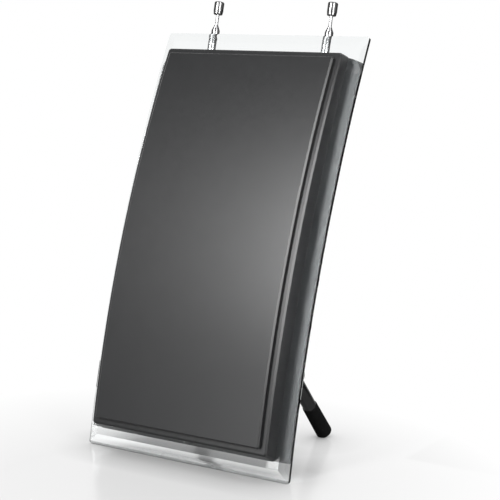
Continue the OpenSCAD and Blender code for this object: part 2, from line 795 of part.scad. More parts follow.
// Thin tube of one rod stage: rolled-in mouth on top, guide collar below.
module stage_tube(k, foot_u) {
    top = stage_top_u(k);
    r = stage_d(k) / 2;
    rotate_extrude() difference() {
        union() {
            translate([0, foot_u]) square([r, top - mouth_round * 3 - foot_u]);
            polygon([[0, top - mouth_round * 3], [r, top - mouth_round * 3], [r, top - mouth_round * 2],
                [r - mouth_round * 0.4, top - mouth_round * 0.6], [r - mouth_round, top], [0, top]]);
            if (k > 0) translate([0, foot_u]) square([collar_d(k) / 2, collar_len]);
        }
        translate([-1, foot_u - 1]) square([1 + bore_d(k) / 2, top - mouth_len - foot_u + 1]);
        translate([-1, foot_u]) square([1 + mouth_d(k) / 2, top - foot_u + 1]);
    }
}

module rod_tube(side) {
    color([0.82, 0.83, 0.85]) back_frame() translate([side * rod_x, 0, 0]) stage_tube(0, tube_foot_u);
}

module rod_stage(k, side) {
    color([0.82, 0.83, 0.85]) back_frame() translate([side * rod_x, 0, 0]) stage_tube(k, stage_foot_u);
}

module tip_rod(side) {
    color([0.82, 0.83, 0.85]) back_frame() translate([side * rod_x, 0, 0]) {
        translate([0, 0, stage_foot_u]) cylinder(d = tip_d, h = tip_top_u + cap_hold - stage_foot_u);
        translate([0, 0, stage_foot_u]) cylinder(d = collar_d(stages + 1), h = collar_len);
    }
}

module tip_cap(side) {
    r = cap_d / 2;
    waist = 0.5;
    round_r = 1.2;
    color([0.7, 0.7, 0.72]) back_frame() translate([side * rod_x, 0, tip_top_u]) rotate_extrude()
        difference() {
            intersection() {
                round_poly([[-r, 0], [r - waist, 0], [r, cap_len * 0.3], [r, cap_len], [-r, cap_len]],
                    [0, 0.6, 2, round_r, 0]);
                square([r + 1, cap_len + 1]);
            }
            translate([-1, -1]) square([1 + tip_d / 2, cap_hold + 1]);
        }
}

// Puts children on a hinge pin, with the leg running down along -Z.
module leg_frame(side) {
    translate([side * leg_x, pin_at[0], pin_at[1]]) rotate([leg_lean, 0, 0]) children();
}

module x_cyl(d, w) {
    rotate([0, 90, 0]) cylinder(d = d, h = w, center = true);
}

module leg_knuckle(side) {
    color([0.12, 0.12, 0.12]) leg_frame(side) difference() {
        union() {
            x_cyl(2 * barrel_r, barrel_w);
            translate([0, 0, -neck_end]) cylinder(d = neck_d, h = neck_end - barrel_r / 2);
            translate([0, 0, -neck_end - spigot_len]) cylinder(d = leg_d - 2 * leg_wall, h = spigot_len);
        }
        x_cyl(pin_d + 2 * pin_clear, far);
    }
}

module leg_tube(side) {
    color([0.85, 0.86, 0.88]) leg_frame(side) translate([0, 0, foot_floor - leg_len]) difference() {
        cylinder(d = leg_d, h = leg_len - foot_floor - neck_end);
        translate([0, 0, -1]) cylinder(d = leg_d - 2 * leg_wall, h = leg_len);
    }
}

module leg_foot(side) {
    r_top = foot_top_d / 2;
    r_end = foot_end_r;
    color([0.06, 0.06, 0.06]) difference() {
        leg_frame(side) translate([0, 0, -leg_len]) rotate_extrude() difference() {
            intersection() {
                round_poly([[-r_end, 0], [r_end, 0], [r_top, foot_len], [-r_top, foot_len]],
                    [0, foot_edge_r, 0.5, 0]);
                square([r_end + 1, foot_len + 1]);
            }
            translate([-1, foot_floor]) square([1 + leg_d / 2, foot_len]);
        }
        translate([-far * 3, -far, -far]) cube([far * 6, far * 6, far]);
    }
}

module leg_bracket(side) {
    slope = [sin(leg_open), -cos(leg_open)];
    inward = [-cos(leg_open), -sin(leg_open)];
    ledge = barrel_r + fit_gap;
    stop_a = slope * 4 + inward * max(neck_d / 2 + stop_gap, ledge * 0.96);
    stop_b = slope * 9 + inward * (neck_d / 2 + stop_gap);
    base = case_n + base_t - pin_n;
    color([0.12, 0.12, 0.12]) back_frame() translate([side * leg_x, pin_n, pin_u]) difference() {
        union() {
            translate([-cheek_w / 2, base - base_t, -base_down])
                cube([cheek_w, base_t, base_down + base_up]);
            for (s = [-1, 1]) translate([s * (cheek_gap + cheek_t) / 2, 0, 0]) {
                x_cyl(2 * cheek_r, cheek_t);
                across(cheek_t / 2) polygon([[base - web_bite, web_top], [0, cheek_r],
                    [web_back, web_back - cheek_r * 1.2], stop_b, [stop_b[0] - 1, -web_low],
                    [base - web_bite, -web_foot]]);
            }
            across(cheek_w / 2) polygon([[base - web_bite, -web_top], stop_a, stop_b,
                [stop_b[0] - 1, -web_low], [base - web_bite, -web_foot]]);
        }
        x_cyl(pin_d, far);
        for (u = [base_screw_up, -base_screw_down]) translate([0, 0, u]) {
            y_cyl(small_screw_d, base - far, base + far);
            translate([0, base - base_t, 0]) rotate([-90, 0, 0])
                cylinder(d1 = small_screw_d, d2 = small_head_d, h = base_t);
        }
    }
}

module bracket_screws() {
    color([0.7, 0.7, 0.72]) back_frame() for (side = [-1, 1], u = [base_screw_up, -base_screw_down])
        translate([side * leg_x, case_n, pin_u + u]) difference() {
            union() {
                y_cyl(small_screw_d, -case_wall - 5.5, base_t / 2);
                rotate([-90, 0, 0]) cylinder(d1 = small_screw_d, d2 = small_head_d, h = base_t);
            }
            y_cyl(mid_drive_d, base_t - drive_depth, base_t + 1, $fn = 6);
        }
}

module hinge_pins() {
    color([0.75, 0.75, 0.77]) for (side = [-1, 1]) leg_frame(side) {
        x_cyl(pin_d, cheek_w);
        for (s = [-1, 1]) translate([s * (cheek_w + pin_head_t) / 2, 0, 0]) x_cyl(pin_head_d, pin_head_t);
    }
}

module hinge_washers() {
    color([0.75, 0.75, 0.77]) for (side = [-1, 1], s = [-1, 1]) leg_frame(side)
        translate([s * (cheek_gap - washer_t) / 2, 0, 0]) difference() {
            x_cyl(washer_d, washer_t);
            x_cyl(pin_d, far);
        }
}

clear_plate();
front_cover();
rear_cover();
uhf_board();
uhf_element(-1);  // uhf_element_left
uhf_element(1);  // uhf_element_right
tuner_board();
shield_can();
balun_core();
capacitors();
feed_pins();
front_spacers();
rear_spacers();
board_screws();
board_nuts();
coax_jack();
jack_washer();
jack_nut();
cover_screws();
rod_bushes();
rod_clips();
clip_screws();
rod_lugs();
lug_screws();
rod_tube(-1);  // rod_tube_left
rod_tube(1);  // rod_tube_right
rod_stage(1, -1);  // stage_1_left
rod_stage(1, 1);  // stage_1_right
rod_stage(2, -1);  // stage_2_left
rod_stage(2, 1);  // stage_2_right
rod_stage(3, -1);  // stage_3_left
rod_stage(3, 1);  // stage_3_right
rod_stage(4, -1);  // stage_4_left
rod_stage(4, 1);  // stage_4_right
tip_rod(-1);  // tip_rod_left
tip_rod(1);  // tip_rod_right
tip_cap(-1);  // tip_cap_left
tip_cap(1);  // tip_cap_right
leg_bracket(-1);  // leg_bracket_left
leg_bracket(1);  // leg_bracket_right
bracket_screws();
hinge_pins();
hinge_washers();
leg_knuckle(-1);  // leg_knuckle_left
leg_knuckle(1);  // leg_knuckle_right
leg_tube(-1);  // leg_tube_left
leg_tube(1);  // leg_tube_right
leg_foot(-1);  // leg_foot_left
leg_foot(1);  // leg_foot_right
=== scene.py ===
"""Looks of a flat indoor television antenna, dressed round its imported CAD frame.

The clear plate, the two-tier front cover and the rear housing lean back on two folding legs, and
two telescopic rods stand up behind the top edge. Sizes of pieces are in millimetres and those of
the studio in metres. Every mesh ends in metres in the frame of the CAD model.
"""

from __future__ import annotations

import logging
import math
from dataclasses import dataclass
from enum import Enum
from typing import Sequence

import bmesh
import bpy
from mathutils import Matrix, Vector


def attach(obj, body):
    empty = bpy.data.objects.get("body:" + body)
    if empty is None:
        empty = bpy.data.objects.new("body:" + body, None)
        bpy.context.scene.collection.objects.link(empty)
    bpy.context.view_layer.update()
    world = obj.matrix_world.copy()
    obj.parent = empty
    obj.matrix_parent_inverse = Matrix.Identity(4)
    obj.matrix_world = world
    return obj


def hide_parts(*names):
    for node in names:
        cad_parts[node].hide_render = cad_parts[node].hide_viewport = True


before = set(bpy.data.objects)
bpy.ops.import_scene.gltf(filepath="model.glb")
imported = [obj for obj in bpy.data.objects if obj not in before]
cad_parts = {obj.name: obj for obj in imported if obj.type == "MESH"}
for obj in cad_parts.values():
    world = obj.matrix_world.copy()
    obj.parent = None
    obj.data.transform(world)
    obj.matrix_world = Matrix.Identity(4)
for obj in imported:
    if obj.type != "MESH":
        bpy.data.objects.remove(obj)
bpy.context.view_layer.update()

MM = 0.001
WHITE = (1.0, 1.0, 1.0)
CLOUD_SCALE, CLOUD_DETAIL = 55.0, 4.0
MARK_SCALE, MARK_DETAIL = 180.0, 5.0
SCRATCH_SCALE = 90.0
NOISE_LOW, NOISE_HIGH = 0.3, 0.7
CORNER_STEPS = 6
MERGE_M = 1e-6
PAINTS: dict[str, bpy.types.Material] = {}
log = logging.getLogger("antenna")


class Slot(str, Enum):
    """Material slots of the record."""

    CLEAR_ACRYLIC = "clear_acrylic"
    COVER_PLASTIC = "cover_plastic"
    HOUSING_PLASTIC = "housing_plastic"
    CIRCUIT_BOARD = "circuit_board"
    TINNED_SHEET = "tinned_sheet"
    FERRITE = "ferrite"
    CAPACITOR_CAN = "capacitor_can"
    BRASS = "brass_fittings"
    BRIGHT_STEEL = "bright_steel"
    NICKEL = "nickel_fittings"
    BLACK_STEEL = "black_steel"
    BLACK_PLASTIC = "black_plastic"
    CHROME_TUBE = "chrome_tube"
    SATIN_CHROME = "satin_chrome"
    FOOT_RUBBER = "foot_rubber"


class Side(Enum):
    """Which of a mirrored pair a piece belongs to."""

    LEFT = "left"
    RIGHT = "right"


class Weave(Enum):
    """Kinds of fine relief that a finish can carry."""

    SPARK = "spark"
    BRUSHED = "brushed"
    POLISHED = "polished"
    SPANGLE = "spangle"
    LAMINATE = "laminate"
    RUBBED = "rubbed"


class Sheet:
    """A thin wrapper round one material's node tree."""

    def __init__(self, name: str) -> None:
        """Starts an empty node tree with an output.

        Args:
            name: name of the material.
        """
        self.material = bpy.data.materials.new(name)
        self.material.use_nodes = True
        self.tree = self.material.node_tree
        self.tree.nodes.clear()
        self.output = self.tree.nodes.new("ShaderNodeOutputMaterial")
        self.coords = self.tree.nodes.new("ShaderNodeTexCoord").outputs["Object"]

    def node(self, kind: str, **values: object) -> bpy.types.Node:
        """Adds a node and sets its inputs or properties by name.

        Args:
            kind: identifier of the node type.
            values: input sockets, with spaces as underscores, or properties in lower case.

        Returns:
            The new node.
        """
        made = self.tree.nodes.new(kind)
        for key, value in values.items():
            if hasattr(made, key):
                setattr(made, key, value)
                continue
            socket = made.inputs[key.replace("_", " ")]
            if isinstance(value, bpy.types.NodeSocket):
                self.link(value, socket)
            else:
                socket.default_value = value
        return made

    def link(self, source: bpy.types.NodeSocket, target: bpy.types.NodeSocket) -> None:
        """Joins two sockets."""
        self.tree.links.new(source, target)

    def stretched(self, scale: Sequence[float]) -> bpy.types.NodeSocket:
        """Object coordinates scaled along each axis.

        Args:
            scale: factor along X, Y and Z.

        Returns:
            The vector socket.
        """
        return self.node("ShaderNodeMapping", Vector=self.coords, Scale=tuple(scale)).outputs[0]

    def noise(
        self, scale: float, detail: float = 3.0, stretch: Sequence[float] = WHITE
    ) -> bpy.types.NodeSocket:
        """Noise on object coordinates.

        Args:
            scale: cells per metre.
            detail: octaves of finer noise.
            stretch: factor along each axis before the noise is read.

        Returns:
            The noise factor socket.
        """
        vector = self.stretched(stretch) if tuple(stretch) != WHITE else self.coords
        return self.node(
            "ShaderNodeTexNoise", Vector=vector, Scale=scale, Detail=detail
        ).outputs[0]

    def ranged(
        self, source: bpy.types.NodeSocket, low: float, high: float
    ) -> bpy.types.NodeSocket:
        """Spreads a factor between two numbers.

        Args:
            source: a factor that mostly lies between NOISE_LOW and NOISE_HIGH.
            low: number at the low end.
            high: number at the high end.

        Returns:
            The result socket.
        """
        return self.node(
            "ShaderNodeMapRange", Value=source, From_Min=NOISE_LOW, From_Max=NOISE_HIGH,
            To_Min=low, To_Max=high,
        ).outputs[0]

    def tinted(
        self,
        source: bpy.types.NodeSocket,
        dark: Sequence[float],
        light: Sequence[float],
        low: float = NOISE_LOW,
        high: float = NOISE_HIGH,
    ) -> bpy.types.NodeSocket:
        """Colour that runs between two tints.

        Args:
            source: factor that picks the tint.
            dark: tint at the low end.
            light: tint at the high end.
            low: factor of the dark tint.
            high: factor of the light tint.

        Returns:
            The colour socket.
        """
        ramp = self.node("ShaderNodeValToRGB", Fac=source)
        for stop, place, tint in zip(ramp.color_ramp.elements, (low, high), (dark, light)):
            stop.position, stop.color = place, (*tint, 1.0)
        return ramp.outputs[0]

    def bump(
        self, height: bpy.types.NodeSocket, strength: float, distance_mm: float
    ) -> bpy.types.NodeSocket:
        """Normal pushed by a height.

        Args:
            height: the height factor.
            strength: share of the relief that shows.
            distance_mm: height of the relief in millimetres.

        Returns:
            The normal socket.
        """
        return self.node(
            "ShaderNodeBump", Height=height, Strength=strength, Distance=distance_mm * MM
        ).outputs[0]


@dataclass(frozen=True)
class Finish:
    """A surface finish with its colour, gloss and fine relief."""

    name: str
    slot: Slot
    colour: tuple[float, float, float]
    roughness: float
    weave: Weave
    spread: float = 0.12
    wear: float = 0.1
    metallic: float = 0.0
    specular: float = 0.5
    relief_mm: float = 0.02
    relief_strength: float = 0.3
    grain: float = 2500.0
    stretch: tuple[float, float, float] = WHITE

    def shades(self) -> tuple[Sequence[float], Sequence[float]]:
        """The darker and lighter tint of the finish."""
        low, high = 1.0 - self.spread, 1.0 + self.spread
        return [c * low for c in self.colour], [min(c * high, 1.0) for c in self.colour]

    def height(self, sheet: Sheet) -> bpy.types.NodeSocket:
        """The relief that belongs to the weave.

        Args:
            sheet: node tree of the material.

        Returns:
            The height socket.
        """
        if self.weave in (Weave.SPANGLE, Weave.RUBBED):
            return sheet.node(
                "ShaderNodeTexVoronoi", Vector=sheet.coords, Scale=self.grain
            ).outputs["Distance"]
        return sheet.noise(self.grain, 2.0, self.stretch)

    def shader(self, sheet: Sheet) -> bpy.types.Node:
        """Builds the surface shader.

        Args:
            sheet: node tree of the material.

        Returns:
            The Principled node.
        """
        dark, light = self.shades()
        height = self.height(sheet)
        cloud = sheet.noise(CLOUD_SCALE, CLOUD_DETAIL)
        surface = sheet.node("ShaderNodeBsdfPrincipled", Metallic=self.metallic)
        surface.inputs["Specular IOR Level"].default_value = self.specular
        tone = height if self.weave in (Weave.SPANGLE, Weave.LAMINATE) else cloud
        sheet.link(sheet.tinted(tone, dark, light), surface.inputs["Base Color"])
        brushed = self.weave is Weave.BRUSHED
        rough = height if brushed else sheet.noise(MARK_SCALE, MARK_DETAIL)
        low, high = self.roughness * (1.0 - self.wear), self.roughness * (1.0 + self.wear)
        sheet.link(sheet.ranged(rough, low, high), surface.inputs["Roughness"])
        sheet.link(
            sheet.bump(height, self.relief_strength, self.relief_mm), surface.inputs["Normal"]
        )
        return surface

    def material(self) -> bpy.types.Material:
        """Makes the finish's material the first time it is asked for.

        Returns:
            The material.
        """
        if self.name in PAINTS:
            return PAINTS[self.name]
        sheet = Sheet(self.name)
        sheet.link(self.shader(sheet).outputs[0], sheet.output.inputs["Surface"])
        PAINTS[self.name] = sheet.material
        return sheet.material


@dataclass(frozen=True)
class ClearFinish(Finish):
    """Polished clear sheet that lets lamp light pass, with painted shade on its edge faces and
    foot strip.
    """

    ior: float = 1.49
    # tint of the painted shade on the edge faces and the foot strip
    edge_shade_tone: tuple[float, float, float] = (0.5, 0.51, 0.51)
    edge_cut: float = 0.6
    # height of the strip along the foot that gets a painted contact shadow
    contact_shadow_mm: float = 2.2

    def edges(self, sheet: Sheet) -> bpy.types.NodeSocket:
        """Finds the narrow edge faces round the sheet and the strip it stands on, where shade is
        painted.

        Args:
            sheet: node tree of the material.

        Returns:
            A factor that is 1 where painted shade darkens the sheet.
        """
        facing = sheet.node(
            "ShaderNodeSeparateXYZ",
            Vector=sheet.node("ShaderNodeNewGeometry").outputs["True Normal"],
        )
        place = sheet.node("ShaderNodeSeparateXYZ", Vector=sheet.coords)
        front = sheet.node("ShaderNodeMath", operation="ABSOLUTE")
        sheet.link(facing.outputs["Y"], front.inputs[0])
        marks = []
        # The second mark paints a contact shadow along the strip the sheet stands on.
        for source, limit in (
            (front.outputs[0], self.edge_cut), (place.outputs["Z"], self.contact_shadow_mm * MM),
        ):
            mark = sheet.node("ShaderNodeMath", operation="LESS_THAN")
            sheet.link(source, mark.inputs[0])
            mark.inputs[1].default_value = limit
            marks.append(mark.outputs[0])
        join = sheet.node("ShaderNodeMath", operation="MAXIMUM")
        sheet.link(marks[0], join.inputs[0])
        sheet.link(marks[1], join.inputs[1])
        return join.outputs[0]

    def material(self) -> bpy.types.Material:
        """Makes the clear material the first time it is asked for.

        Returns:
            The material.
        """
        if self.name in PAINTS:
            return PAINTS[self.name]
        sheet = Sheet(self.name)
        surface = sheet.node("ShaderNodeBsdfPrincipled")
        surface.inputs["Transmission Weight"].default_value = 1.0
        surface.inputs["IOR"].default_value = self.ior
        # The tint darkens light through the edge faces and foot strip: painted shade and painted
        # contact shadow.
        tone = sheet.tinted(self.edges(sheet), self.colour, self.edge_shade_tone, 0.0, 1.0)
        sheet.link(tone, surface.inputs["Base Color"])
        marks = sheet.noise(SCRATCH_SCALE, MARK_DETAIL)
        sheet.link(sheet.ranged(marks, 0.0, self.roughness), surface.inputs["Roughness"])
        passing = sheet.node("ShaderNodeBsdfTransparent", Color=(*self.colour, 1.0))
        path = sheet.node("ShaderNodeLightPath")
        mix = sheet.node("ShaderNodeMixShader")
        sheet.link(path.outputs["Is Shadow Ray"], mix.inputs[0])
        sheet.link(surface.outputs[0], mix.inputs[1])
        sheet.link(passing.outputs[0], mix.inputs[2])
        sheet.link(mix.outputs[0], sheet.output.inputs["Surface"])
        PAINTS[self.name] = sheet.material
        return sheet.material


CLEAR = ClearFinish(
    "polished_acrylic", Slot.CLEAR_ACRYLIC, (0.97, 0.985, 0.985), 0.03, Weave.POLISHED,
)
SATIN_COVER = Finish(
    "satin_charcoal_cover", Slot.COVER_PLASTIC, (0.0125, 0.0128, 0.0134), 0.33, Weave.SPARK,
    spread=0.05, wear=0.03, relief_mm=0.02, relief_strength=0.25, grain=1900.0,
)
GREY_HOUSING = Finish(
    "grey_moulded_housing", Slot.HOUSING_PLASTIC, (0.045, 0.046, 0.0475), 0.4, Weave.SPARK,
    spread=0.04, wear=0.04, relief_mm=0.02, relief_strength=0.3, grain=1500.0,
)
BOARD = Finish(
    "green_laminate", Slot.CIRCUIT_BOARD, (0.02, 0.13, 0.05), 0.35, Weave.LAMINATE,
    spread=0.35, relief_mm=0.02, grain=700.0,
)
TIN = Finish(
    "tinned_steel", Slot.TINNED_SHEET, (0.62, 0.62, 0.6), 0.3, Weave.SPANGLE,
    metallic=1.0, spread=0.08, relief_mm=0.01, grain=160.0,
)
FERRITE = Finish(
    "sintered_ferrite", Slot.FERRITE, (0.045, 0.043, 0.042), 0.65, Weave.RUBBED,
    relief_mm=0.05, grain=2200.0,
)
CAN_SLEEVE = Finish(
    "capacitor_sleeve", Slot.CAPACITOR_CAN, (0.03, 0.035, 0.06), 0.3, Weave.POLISHED,
    relief_mm=0.01, grain=900.0,
)
BRASS = Finish(
    "turned_brass", Slot.BRASS, (0.78, 0.58, 0.28), 0.28, Weave.BRUSHED,
    metallic=1.0, relief_mm=0.01, grain=500.0, stretch=(1.0, 14.0, 1.0),
)
BRIGHT_STEEL = Finish(
    "plated_steel", Slot.BRIGHT_STEEL, (0.6, 0.6, 0.6), 0.26, Weave.BRUSHED,
    metallic=1.0, relief_mm=0.01, grain=600.0, stretch=(1.0, 9.0, 1.0),
)
NICKEL = Finish(
    "nickel_plate", Slot.NICKEL, (0.68, 0.65, 0.6), 0.22, Weave.BRUSHED,
    metallic=1.0, relief_mm=0.01, grain=500.0, stretch=(1.0, 12.0, 1.0),
)
BLACK_STEEL = Finish(
    "black_oxide_steel", Slot.BLACK_STEEL, (0.03, 0.03, 0.032), 0.34, Weave.SPARK,
    metallic=0.6, relief_mm=0.01, grain=1800.0,
)
BLACK_PLASTIC = Finish(
    "black_moulded_plastic", Slot.BLACK_PLASTIC, (0.02, 0.02, 0.021), 0.4, Weave.SPARK,
    relief_mm=0.02, grain=2200.0,
)
CHROME = Finish(
    "polished_chrome", Slot.CHROME_TUBE, (0.3, 0.3, 0.304), 0.25, Weave.POLISHED,
    metallic=1.0, spread=0.04, relief_mm=0.004, relief_strength=0.15, grain=300.0,
    stretch=(1.0, 1.0, 0.06),
)
# A darker copy of the rods' chrome, in the same slot, for the leg tubes.
DARKER_LEG_CHROME = Finish(
    "darker_leg_chrome", Slot.CHROME_TUBE, (0.15, 0.15, 0.153), 0.2, Weave.POLISHED,
    metallic=1.0, spread=0.05, relief_mm=0.004, relief_strength=0.15, grain=300.0,
    stretch=(1.0, 1.0, 0.1),
)
SATIN_CHROME = Finish(
    "satin_chrome", Slot.SATIN_CHROME, (0.2, 0.2, 0.2), 0.3, Weave.BRUSHED,
    metallic=1.0, relief_mm=0.01, grain=700.0, stretch=(1.0, 1.0, 9.0),
)
RUBBER = Finish(
    "matt_rubber", Slot.FOOT_RUBBER, (0.004, 0.004, 0.0042), 0.7, Weave.RUBBED,
    spread=0.2, specular=0.15, relief_mm=0.04, grain=1600.0,
)


class Dressed:
    """A sub-assembly of CAD nodes that get their finishes."""

    def coats(self) -> dict[str, Finish]:
        """The finish of each CAD node of the sub-assembly."""
        return {}

    def dress(self) -> None:
        """Gives each CAD node of the sub-assembly its finish."""
        for node, finish in self.coats().items():
            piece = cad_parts[node]
            piece.data.materials.clear()
            piece.data.materials.append(finish.material())
            log.info("%s: %s", node, finish.name)


@dataclass(frozen=True)
class Bow:
    """The plate's bow. Flat places are x, minus the height ahead of the rear face, and length."""

    radius: float = 1390.0
    foot_lean: float = math.radians(11.7)
    edge: float = 3.0
    depths: tuple[float, float, float] = (13.9, 15.3, 9.5)
    length: float = 383.0
    thickness: float = 6.0

    def place(self, ahead: float, along: float) -> Vector:
        """A point of the bow's side view.

        Args:
            ahead: height ahead of the plate's rear face.
            along: length from the foot.

        Returns:
            Its depth and height as a flat vector.
        """
        lean = self.foot_lean + along / self.radius
        reach = self.radius + ahead
        foot = self.foot_lean
        centre = Vector((
            self.radius * math.cos(foot) + self.edge / 2.0 / math.cos(foot),
            -self.radius * math.sin(foot),
        ))
        return centre + Vector((-reach * math.cos(lean), reach * math.sin(lean)))

    def cover_depth(self, along: float) -> float:
        """Height of the lower tier's face over the plate.

        Args:
            along: length from the foot.

        Returns:
            The height in millimetres.
        """
        low, mid, high = self.depths
        share = 2.0 * along / self.length - 1.0
        return mid + share * (high - low) / 2.0 + share * share * ((low + high) / 2.0 - mid)

    def slice(self, bm: bmesh.types.BMesh, low: float, high: float, count: int) -> None:
        """Cuts a flat form across its length so that it can bend.

        Args:
            bm: the mesh.
            low: where the cuts begin.
            high: where they end.
            count: number of strips.
        """
        for k in range(1, count):
            bmesh.ops.bisect_plane(
                bm, geom=bm.verts[:] + bm.edges[:] + bm.faces[:],
                plane_co=(0.0, 0.0, low + (high - low) * k / count), plane_no=(0.0, 0.0, 1.0),
            )

    def bend(self, bm: bmesh.types.BMesh) -> None:
        """Moves a flat form onto the bow and turns millimetres into metres.

        Args:
            bm: the mesh.
        """
        for vert in bm.verts:
            side = self.place(-vert.co.y, vert.co.z)
            vert.co = Vector((vert.co.x, side.x, side.y)) * MM


BOW = Bow()


def creased(bm: bmesh.types.BMesh, angle_deg: float) -> None:
    """Shades faces smooth and keeps every edge sharper than an angle.

    Args:
        bm: the mesh.
        angle_deg: smallest angle that stays sharp.
    """
    for face in bm.faces:
        face.smooth = True
    for edge in bm.edges:
        edge.smooth = edge.calc_face_angle(math.pi) < math.radians(angle_deg)


def piece_of(bm: bmesh.types.BMesh, name: str, body: str, finish: Finish) -> bpy.types.Object:
    """Turns a mesh into a dressed piece that rides on a body.

    Args:
        bm: the mesh, in metres, which is freed.
        name: name of the piece.
        body: body that carries it.
        finish: its finish.

    Returns:
        The new object.
    """
    mesh = bpy.data.meshes.new(name)
    bm.to_mesh(mesh)
    bm.free()
    mesh.materials.append(finish.material())
    piece = bpy.data.objects.new(name, mesh)
    bpy.context.scene.collection.objects.link(piece)
    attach(piece, body)
    log.info("%s: %s, %d faces", name, finish.name, len(mesh.polygons))
    return piece


@dataclass
class ClearPlate(Dressed):
    """The bowed clear plate with mitred bevels and a level foot."""

    width: float = 210.0
    bevel: float = 9.5
    corner: float = 2.0
    strips: int = 64
    crease_deg: float = 14.0
    level: float = 0.01

    def dress(self) -> None:
        """Builds the plate and puts it in the CAD node's place."""
        bm = bmesh.new()
        bmesh.ops.create_cube(bm, size=1.0)
        bmesh.ops.scale(bm, vec=(self.width, BOW.edge, BOW.length), verts=bm.verts)
        bmesh.ops.translate(bm, vec=(0.0, -BOW.edge / 2.0, BOW.length / 2.0), verts=bm.verts)
        across = [e for e in bm.edges if abs(e.verts[0].co.y - e.verts[1].co.y) > 1.0]
        front = [f for f in bm.faces if f.normal.y < -0.9]
        bmesh.ops.inset_region(
            bm, faces=front, thickness=self.bevel, depth=BOW.thickness - BOW.edge,
            use_even_offset=True,
        )
        bmesh.ops.bevel(
            bm, geom=across, offset=self.corner, offset_type="OFFSET", segments=CORNER_STEPS,
            profile=0.5, affect="EDGES", material=-1,
        )
        BOW.slice(bm, 0.0, BOW.length, self.strips)
        creased(bm, self.crease_deg)
        heel = [v for v in bm.verts if v.co.z < self.level]
        BOW.bend(bm)
        for vert in heel:
            vert.co.z = 0.0
        plate = piece_of(bm, "bowed_plate", "housing", CLEAR)
        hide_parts("clear_plate")


@dataclass(frozen=True)
class Tier:
    """One tier of the cover: a rounded outline raised with drafted walls and a chamfered rim."""

    half: float
    foot: float
    head: float
    low: float
    high: float
    corner: float
    rim: float
    side_run: float
    foot_run: float
    head_run: float

    def raise_on(self, bm: bmesh.types.BMesh) -> None:
        """Adds the tier to a flat form, open at its back.

        Args:
            bm: the mesh, in millimetres.
        """
        verts = bmesh.ops.create_grid(bm, x_segments=1, y_segments=1, size=0.5)["verts"]
        bmesh.ops.scale(bm, vec=(2.0 * self.half, self.head - self.foot, 1.0), verts=verts)
        bmesh.ops.rotate(bm, matrix=Matrix.Rotation(math.pi / 2.0, 3, "X"), verts=verts)
        middle = (self.foot + self.head) / 2.0
        bmesh.ops.translate(bm, vec=(0.0, -self.low, middle), verts=verts)
        known = set(bm.faces) - set(verts[0].link_faces)
        bmesh.ops.bevel(
            bm, geom=verts, offset=self.corner, offset_type="OFFSET", segments=CORNER_STEPS,
            profile=0.5, affect="VERTICES", material=-1,
        )
        face = next(f for f in bm.faces if f not in known)
        wall = self.high - self.low - self.rim
        for thickness, depth in ((0.0, wall), (self.rim, self.rim)):
            bmesh.ops.inset_region(
                bm, faces=[face], thickness=thickness, depth=depth, use_even_offset=True,
                use_boundary=True,
            )
        tall = self.head - self.foot
        for vert in {v for f in bm.faces if f not in known for v in f.verts}:
            up = (-vert.co.y - self.low) / (self.high - self.low)
            vert.co.x *= 1.0 - self.side_run * up / self.half
            share = (vert.co.z - self.foot) / tall
            vert.co.z += up * (self.foot_run * (1.0 - share) - self.head_run * share)


@dataclass
class FrontCover(Dressed):
    """The two-tier cover on the plate's front, thin moulded shells with chamfered rims."""

    wall: float = 1.5
    strips: int = 64
    seat_gap: float = 0.04
    crease_deg: float = 30.0
    base: Tier = Tier(
        half=91.8, foot=15.8, head=363.0, low=0.0, high=15.3, corner=2.6, rim=1.4,
        side_run=0.96, foot_run=4.9, head_run=1.34,
    )
    panel: Tier = Tier(
        half=85.8, foot=26.0, head=356.4, low=15.0, high=19.7, corner=1.8, rim=1.3,
        side_run=0.28, foot_run=0.0, head_run=0.0,
    )

    def dress(self) -> None:
        """Raises, bends and thickens both tiers, and puts them in the CAD node's place."""
        bm = bmesh.new()
        for tier in (self.base, self.panel):
            tier.raise_on(bm)
        BOW.slice(bm, self.base.foot, self.base.head, self.strips)
        deep = BOW.depths[1]
        for vert in bm.verts:
            rise, depth = -vert.co.y, BOW.cover_depth(vert.co.z)
            rise = rise * depth / deep if rise <= deep else rise - deep + depth
            vert.co.y = -(BOW.thickness + self.seat_gap + rise)
        BOW.bend(bm)
        bmesh.ops.remove_doubles(bm, verts=bm.verts, dist=MERGE_M)
        bmesh.ops.recalc_face_normals(bm, faces=bm.faces)
        bmesh.ops.solidify(bm, geom=bm.faces[:], thickness=self.wall * MM)
        creased(bm, self.crease_deg)
        cover = piece_of(bm, "moulded_front_cover", "housing", SATIN_COVER)
        weigh = cover.modifiers.new("even_shading", "WEIGHTED_NORMAL")
        weigh.mode, weigh.weight, weigh.keep_sharp = "FACE_AREA", 100, True
        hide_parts("front_cover")


class RearHousing(Dressed):
    """The housing behind the plate with its screws."""

    def coats(self) -> dict[str, Finish]:
        """Grey moulding, black screws."""
        return {"rear_cover": GREY_HOUSING, "cover_screws": BLACK_STEEL}


class BoardStack(Dressed):
    """The UHF element, the tuner board and what holds them on the plate."""

    def coats(self) -> dict[str, Finish]:
        """Green boards, tinned sheet and brass spacers."""
        return {
            "uhf_board": BOARD,
            "uhf_element_left": TIN,
            "uhf_element_right": TIN,
            "tuner_board": BOARD,
            "shield_can": TIN,
            "balun_core": FERRITE,
            "capacitors": CAN_SLEEVE,
            "feed_pins": BRASS,
            "front_spacers": BRASS,
            "rear_spacers": BRASS,
            "board_screws": BRIGHT_STEEL,
            "board_nuts": BRIGHT_STEEL,
        }


class AerialSocket(Dressed):
    """The threaded socket with its washer and nut."""

    def coats(self) -> dict[str, Finish]:
        """Nickel all over."""
        return {"coax_jack": NICKEL, "jack_washer": NICKEL, "jack_nut": NICKEL}


